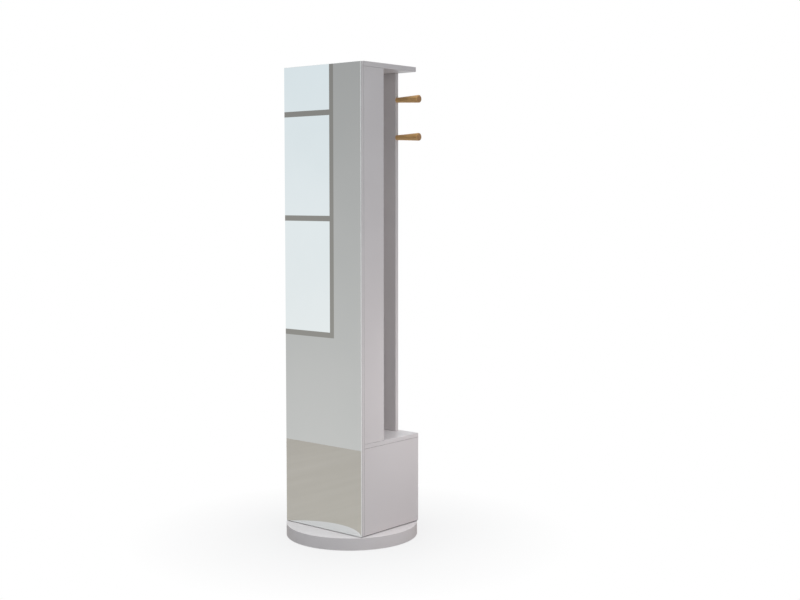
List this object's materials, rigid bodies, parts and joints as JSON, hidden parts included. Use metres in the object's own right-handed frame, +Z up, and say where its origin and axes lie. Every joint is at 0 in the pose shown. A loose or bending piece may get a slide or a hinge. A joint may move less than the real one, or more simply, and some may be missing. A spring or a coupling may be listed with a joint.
{
  "type": "revolving wardrobe cabinet",
  "caption": "Tall narrow mirror cabinet that revolves on a round base, with coat pegs and a clothes rail behind the mirror and drawers below.",
  "frame": {"origin": "centre of the round base's underside, on the turning axis, on the floor", "axes": "+Z up along the turning axis; the mirror faces -Y and the drawers open towards +Y; +X is to the right of someone who stands in front of the mirror and faces it"},
  "size_m": [0.5, 0.5, 1.773],
  "materials": {
    "lacquer": "satin lacquered board, off-white with a slight grey",
    "mirror": "silvered float glass, ground edges",
    "oak": "turned oak, clear matt lacquer",
    "chrome": "polished",
    "aluminium": "mill finish",
    "zinc_steel": "bright zinc plated",
    "birch_ply": "sanded plywood, clear lacquer",
    "rubber": "matt"
  },
  "bodies": {
    "base": {"base_drum": "lacquer", "base_bottom_plate": "birch_ply", "base_support_ring": "birch_ply", "foot_pad_1": "rubber", "foot_pad_2": "rubber", "foot_pad_3": "rubber", "foot_pad_4": "rubber", "foot_pad_5": "rubber", "foot_pad_6": "rubber", "turntable_outer_ring": "aluminium"},
    "cabinet": {"mirror_glass": "mirror", "mirror_backing_board": "lacquer", "bottom_board": "lacquer", "lower_side_panel_left": "lacquer", "lower_side_panel_right": "lacquer", "lower_top_board": "lacquer", "upper_side_panel_left": "lacquer", "upper_side_panel_right": "lacquer", "top_panel": "lacquer", "rear_board": "lacquer", "peg_left_lower": "oak", "peg_left_upper": "oak", "peg_right_lower": "oak", "peg_right_upper": "oak", "clothes_rail": "chrome", "rail_flange_front": "chrome", "rail_flange_rear": "chrome", "turntable_inner_ring": "aluminium", "runner_lower_outer_left": "zinc_steel", "runner_lower_outer_right": "zinc_steel", "runner_upper_outer_left": "zinc_steel", "runner_upper_outer_right": "zinc_steel"},
    "turntable_cage": {"turntable_ball_cage": "zinc_steel"},
    "drawer_lower": {"drawer_lower_front": "lacquer", "drawer_lower_side_left": "birch_ply", "drawer_lower_side_right": "birch_ply", "drawer_lower_back": "birch_ply", "drawer_lower_bottom": "birch_ply", "runner_lower_inner_left": "zinc_steel", "runner_lower_inner_right": "zinc_steel"},
    "runner_cages_lower": {"runner_lower_balls_left": "zinc_steel", "runner_lower_balls_right": "zinc_steel"},
    "drawer_upper": {"drawer_upper_front": "lacquer", "drawer_upper_side_left": "birch_ply", "drawer_upper_side_right": "birch_ply", "drawer_upper_back": "birch_ply", "drawer_upper_bottom": "birch_ply", "runner_upper_inner_left": "zinc_steel", "runner_upper_inner_right": "zinc_steel"},
    "runner_cages_upper": {"runner_upper_balls_left": "zinc_steel", "runner_upper_balls_right": "zinc_steel"}
  },
  "joints": [
    {"name": "cabinet_turn", "type": "hinge", "parent": "base", "child": "cabinet", "pos_m": [0, 0, 0.045], "axis": [0, 0, 1], "continuous": true},
    {"name": "ball_cage_turn", "type": "hinge", "parent": "base", "child": "turntable_cage", "pos_m": [0, 0, 0.045], "axis": [0, 0, 1], "continuous": true},
    {"name": "drawer_lower_slide", "type": "slide", "parent": "cabinet", "child": "drawer_lower", "axis": [0, 1, 0], "range_m": [0, 0.19]},
    {"name": "runner_cages_lower_slide", "type": "slide", "parent": "cabinet", "child": "runner_cages_lower", "axis": [0, 1, 0], "range_m": [0, 0.095]},
    {"name": "drawer_upper_slide", "type": "slide", "parent": "cabinet", "child": "drawer_upper", "axis": [0, 1, 0], "range_m": [0, 0.19]},
    {"name": "runner_cages_upper_slide", "type": "slide", "parent": "cabinet", "child": "runner_cages_upper", "axis": [0, 1, 0], "range_m": [0, 0.095]}
  ],
  "couplings": [
    {"joint": "ball_cage_turn", "follows": "cabinet_turn", "ratio": 0.5},
    {"joint": "runner_cages_lower_slide", "follows": "drawer_lower_slide", "ratio": 0.5},
    {"joint": "runner_cages_upper_slide", "follows": "drawer_upper_slide", "ratio": 0.5}
  ]
}
